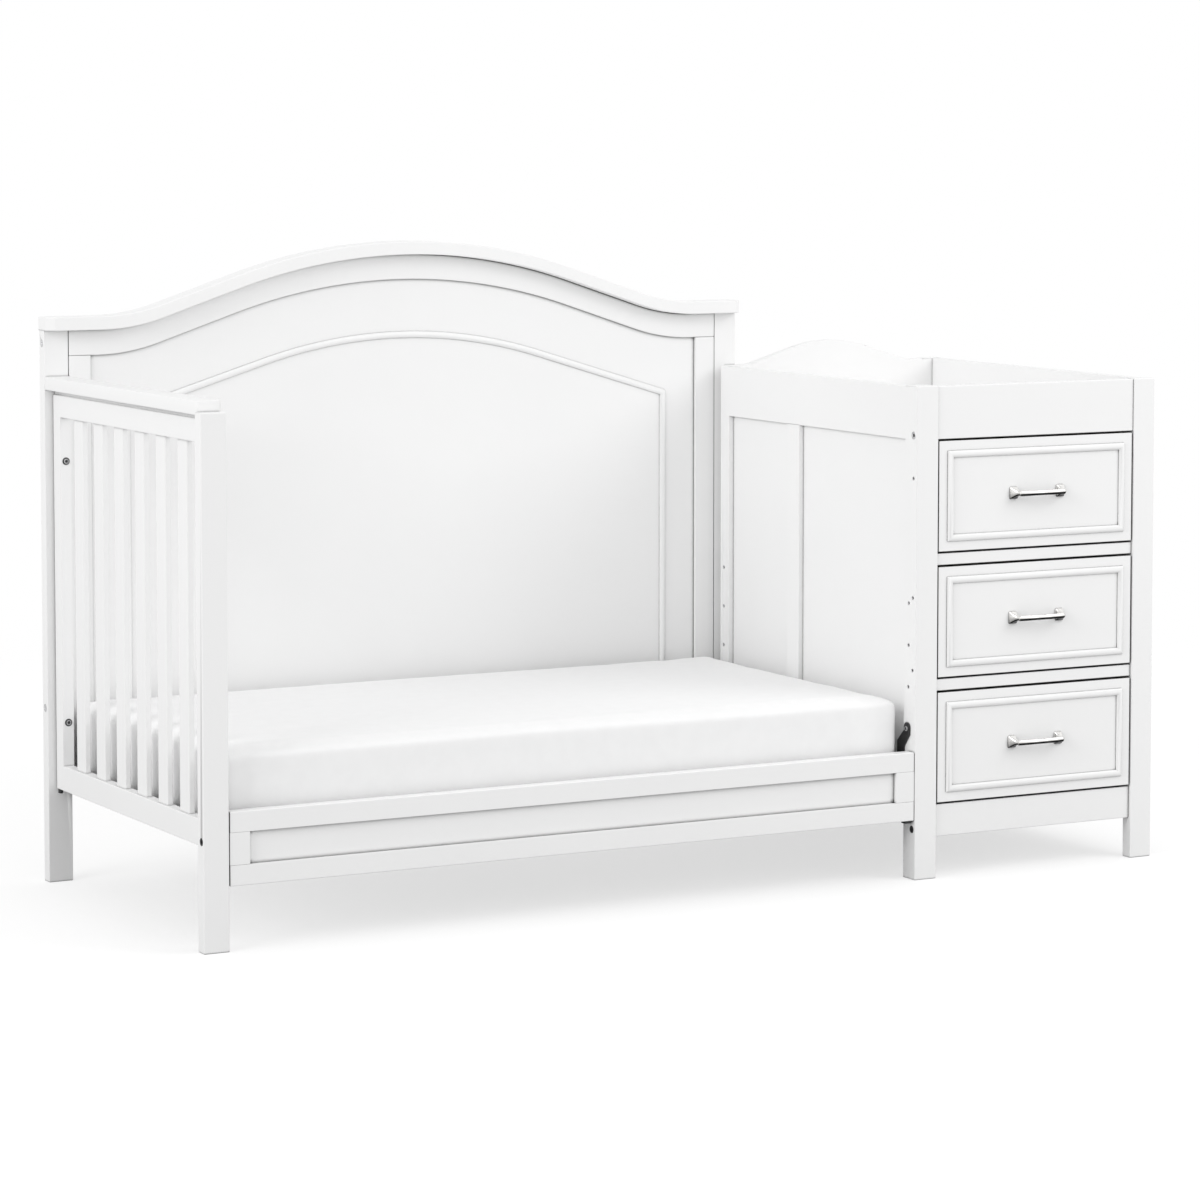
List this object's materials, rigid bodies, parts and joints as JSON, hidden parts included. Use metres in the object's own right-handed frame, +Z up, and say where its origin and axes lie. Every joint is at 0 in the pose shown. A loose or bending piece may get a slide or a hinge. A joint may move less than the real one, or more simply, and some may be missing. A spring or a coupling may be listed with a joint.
{
  "type": "crib with attached changer",
  "caption": "White painted day-bed crib with an arched panel headboard, a slatted end and a low front rail, joined to a changing tower with sliding drawers and an open tray top.",
  "frame": {"origin": "on the floor under the middle of the whole outline, handles included", "axes": "+X from the bed to the changer, +Y from the front to the headboard, +Z up"},
  "size_m": [1.871, 0.76, 1.124],
  "materials": {
    "white_paint": "satin white paint",
    "bare_wood": "clear satin",
    "black_steel": "satin black",
    "satin_nickel": "satin nickel",
    "white_cotton": "woven cotton"
  },
  "bodies": {
    "crib": {"headboard_left_post": "white_paint", "headboard_right_post": "white_paint", "headboard_cap": "white_paint", "headboard_arch_rail": "white_paint", "headboard_stiles": "white_paint", "headboard_bottom_rail": "white_paint", "headboard_panel": "white_paint", "headboard_bead": "white_paint", "end_front_leg": "white_paint", "end_arm_cap": "white_paint", "end_top_rail": "white_paint", "end_stiles": "white_paint", "end_slats": "white_paint", "end_bottom_rail": "white_paint", "daybed_top_rail": "white_paint", "daybed_bottom_rail": "white_paint", "daybed_stiles": "white_paint", "daybed_panel": "white_paint", "support_frame": "black_steel", "support_springs": "black_steel", "support_brackets": "black_steel", "changer_inner_front_leg": "white_paint", "changer_inner_rear_leg": "white_paint", "changer_outer_front_leg": "white_paint", "changer_outer_rear_leg": "white_paint", "changer_inner_side_rails": "white_paint", "changer_outer_side_rails": "white_paint", "changer_centre_stiles": "white_paint", "changer_inner_side_panels": "white_paint", "changer_outer_side_panels": "white_paint", "changer_back_boards": "white_paint", "changer_back_panel": "white_paint", "changer_spacer": "white_paint", "changer_front_top_rail": "white_paint", "changer_dividers": "white_paint", "changer_apron": "white_paint", "changer_tray_deck": "white_paint", "changer_bottom_panel": "white_paint", "changer_runner_cleats": "bare_wood", "changer_runners": "black_steel", "assembly_bolts": "black_steel"},
    "mattress": {"mattress": "white_cotton"},
    "drawer_1": {"drawer_1_front": "white_paint", "drawer_1_moulding": "white_paint", "drawer_1_sides": "bare_wood", "drawer_1_back": "bare_wood", "drawer_1_bottom": "bare_wood", "drawer_1_handle": "satin_nickel"},
    "drawer_2": {"drawer_2_front": "white_paint", "drawer_2_moulding": "white_paint", "drawer_2_sides": "bare_wood", "drawer_2_back": "bare_wood", "drawer_2_bottom": "bare_wood", "drawer_2_handle": "satin_nickel"},
    "drawer_3": {"drawer_3_front": "white_paint", "drawer_3_moulding": "white_paint", "drawer_3_sides": "bare_wood", "drawer_3_back": "bare_wood", "drawer_3_bottom": "bare_wood", "drawer_3_handle": "satin_nickel"}
  },
  "joints": [
    {"name": "drawer_1_slide", "type": "slide", "parent": "crib", "child": "drawer_1", "axis": [0, -1, 0], "range_m": [0, 0.3]},
    {"name": "drawer_2_slide", "type": "slide", "parent": "crib", "child": "drawer_2", "axis": [0, -1, 0], "range_m": [0, 0.3]},
    {"name": "drawer_3_slide", "type": "slide", "parent": "crib", "child": "drawer_3", "axis": [0, -1, 0], "range_m": [0, 0.3]},
    {"name": "mattress_lift", "type": "slide", "parent": "crib", "child": "mattress", "axis": [0, 0, 1], "range_m": [0, 0.25]}
  ]
}
